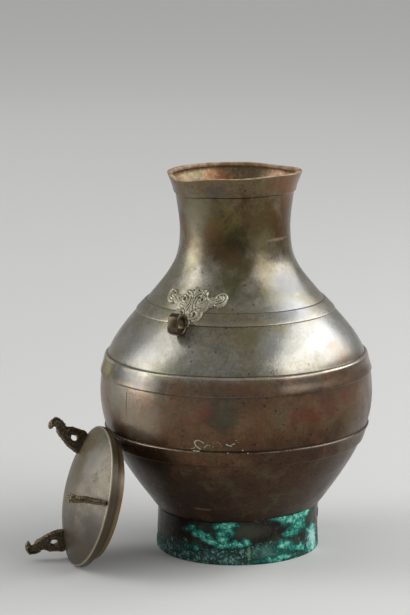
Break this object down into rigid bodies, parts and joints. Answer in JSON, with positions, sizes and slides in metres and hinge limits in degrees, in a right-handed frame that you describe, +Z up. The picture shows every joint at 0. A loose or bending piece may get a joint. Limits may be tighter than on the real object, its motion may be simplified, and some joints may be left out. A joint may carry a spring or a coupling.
{
  "type": "bronze hu jar",
  "caption": "Pear-shaped bronze jar on a ring foot, with a flared mouth, raised bands, mask handles with strap loops, and a domed lid with bird finials leaning against it.",
  "frame": {"origin": "centre of the foot's bottom rim, on the floor", "axes": "+Z up along the jar's axis, -Y out of the front mask, +X to the right seen from the front; the lid leans at the front left"},
  "size_m": [0.2725, 0.3292, 0.36],
  "materials": {
    "jar_bronze": "old bronze, satin brown to olive patina with reddish patches",
    "foot_bronze": "old bronze, dark brown under a dull green crust",
    "mask_bronze": "old bronze, grey-green, dull, with a brown worn loop",
    "lid_bronze": "old bronze, satin grey-brown dome with a dark olive rim",
    "finial_bronze": "old bronze, dark brown, dull"
  },
  "bodies": {
    "jar": {"vessel_body": "jar_bronze", "foot_ring": "foot_bronze", "front_mask": "mask_bronze", "rear_mask": "mask_bronze"},
    "lid_set": {"lid": "lid_bronze", "finial_1": "finial_bronze", "finial_2": "finial_bronze", "finial_3": "finial_bronze"}
  },
  "joints": [
    {"name": "lid_away", "type": "slide", "parent": "jar", "child": "lid_set", "axis": [-0.6587, -0.7524, 0], "range_m": [0, 0.2]}
  ]
}
